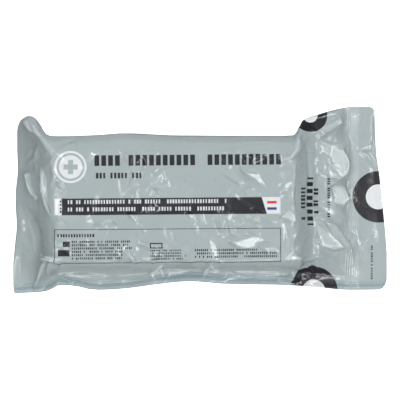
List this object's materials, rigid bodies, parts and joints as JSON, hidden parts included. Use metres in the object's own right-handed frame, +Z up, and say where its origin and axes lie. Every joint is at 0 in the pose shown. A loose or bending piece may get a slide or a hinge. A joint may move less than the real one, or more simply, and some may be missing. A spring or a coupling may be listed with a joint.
{
  "type": "packed emergency trauma bandage",
  "caption": "Flat-rolled pressure bandage with its pad folded round it, vacuum-sealed in a printed film pouch with ears, side seal and a wide tear flap.",
  "frame": {"origin": "centre of the pouch's outline, on the surface that it lies on", "axes": "+X along the pouch to its tear end, +Y to the side where the pad is folded over, +Z up out of the printed face"},
  "size_m": [0.24, 0.1198, 0.028],
  "materials": {
    "printed_film": "semi-gloss grey-green film, printed",
    "plain_film": "semi-gloss grey-green film",
    "pad_cloth": "soft unwoven pad",
    "elastic_wrap": "woven elastic",
    "applicator_plastic": "moulded"
  },
  "bodies": {
    "root": {"front_film": "printed_film", "back_film": "plain_film", "folded_pad": "pad_cloth", "wrap_roll": "elastic_wrap", "pressure_applicator": "applicator_plastic"}
  },
  "joints": []
}
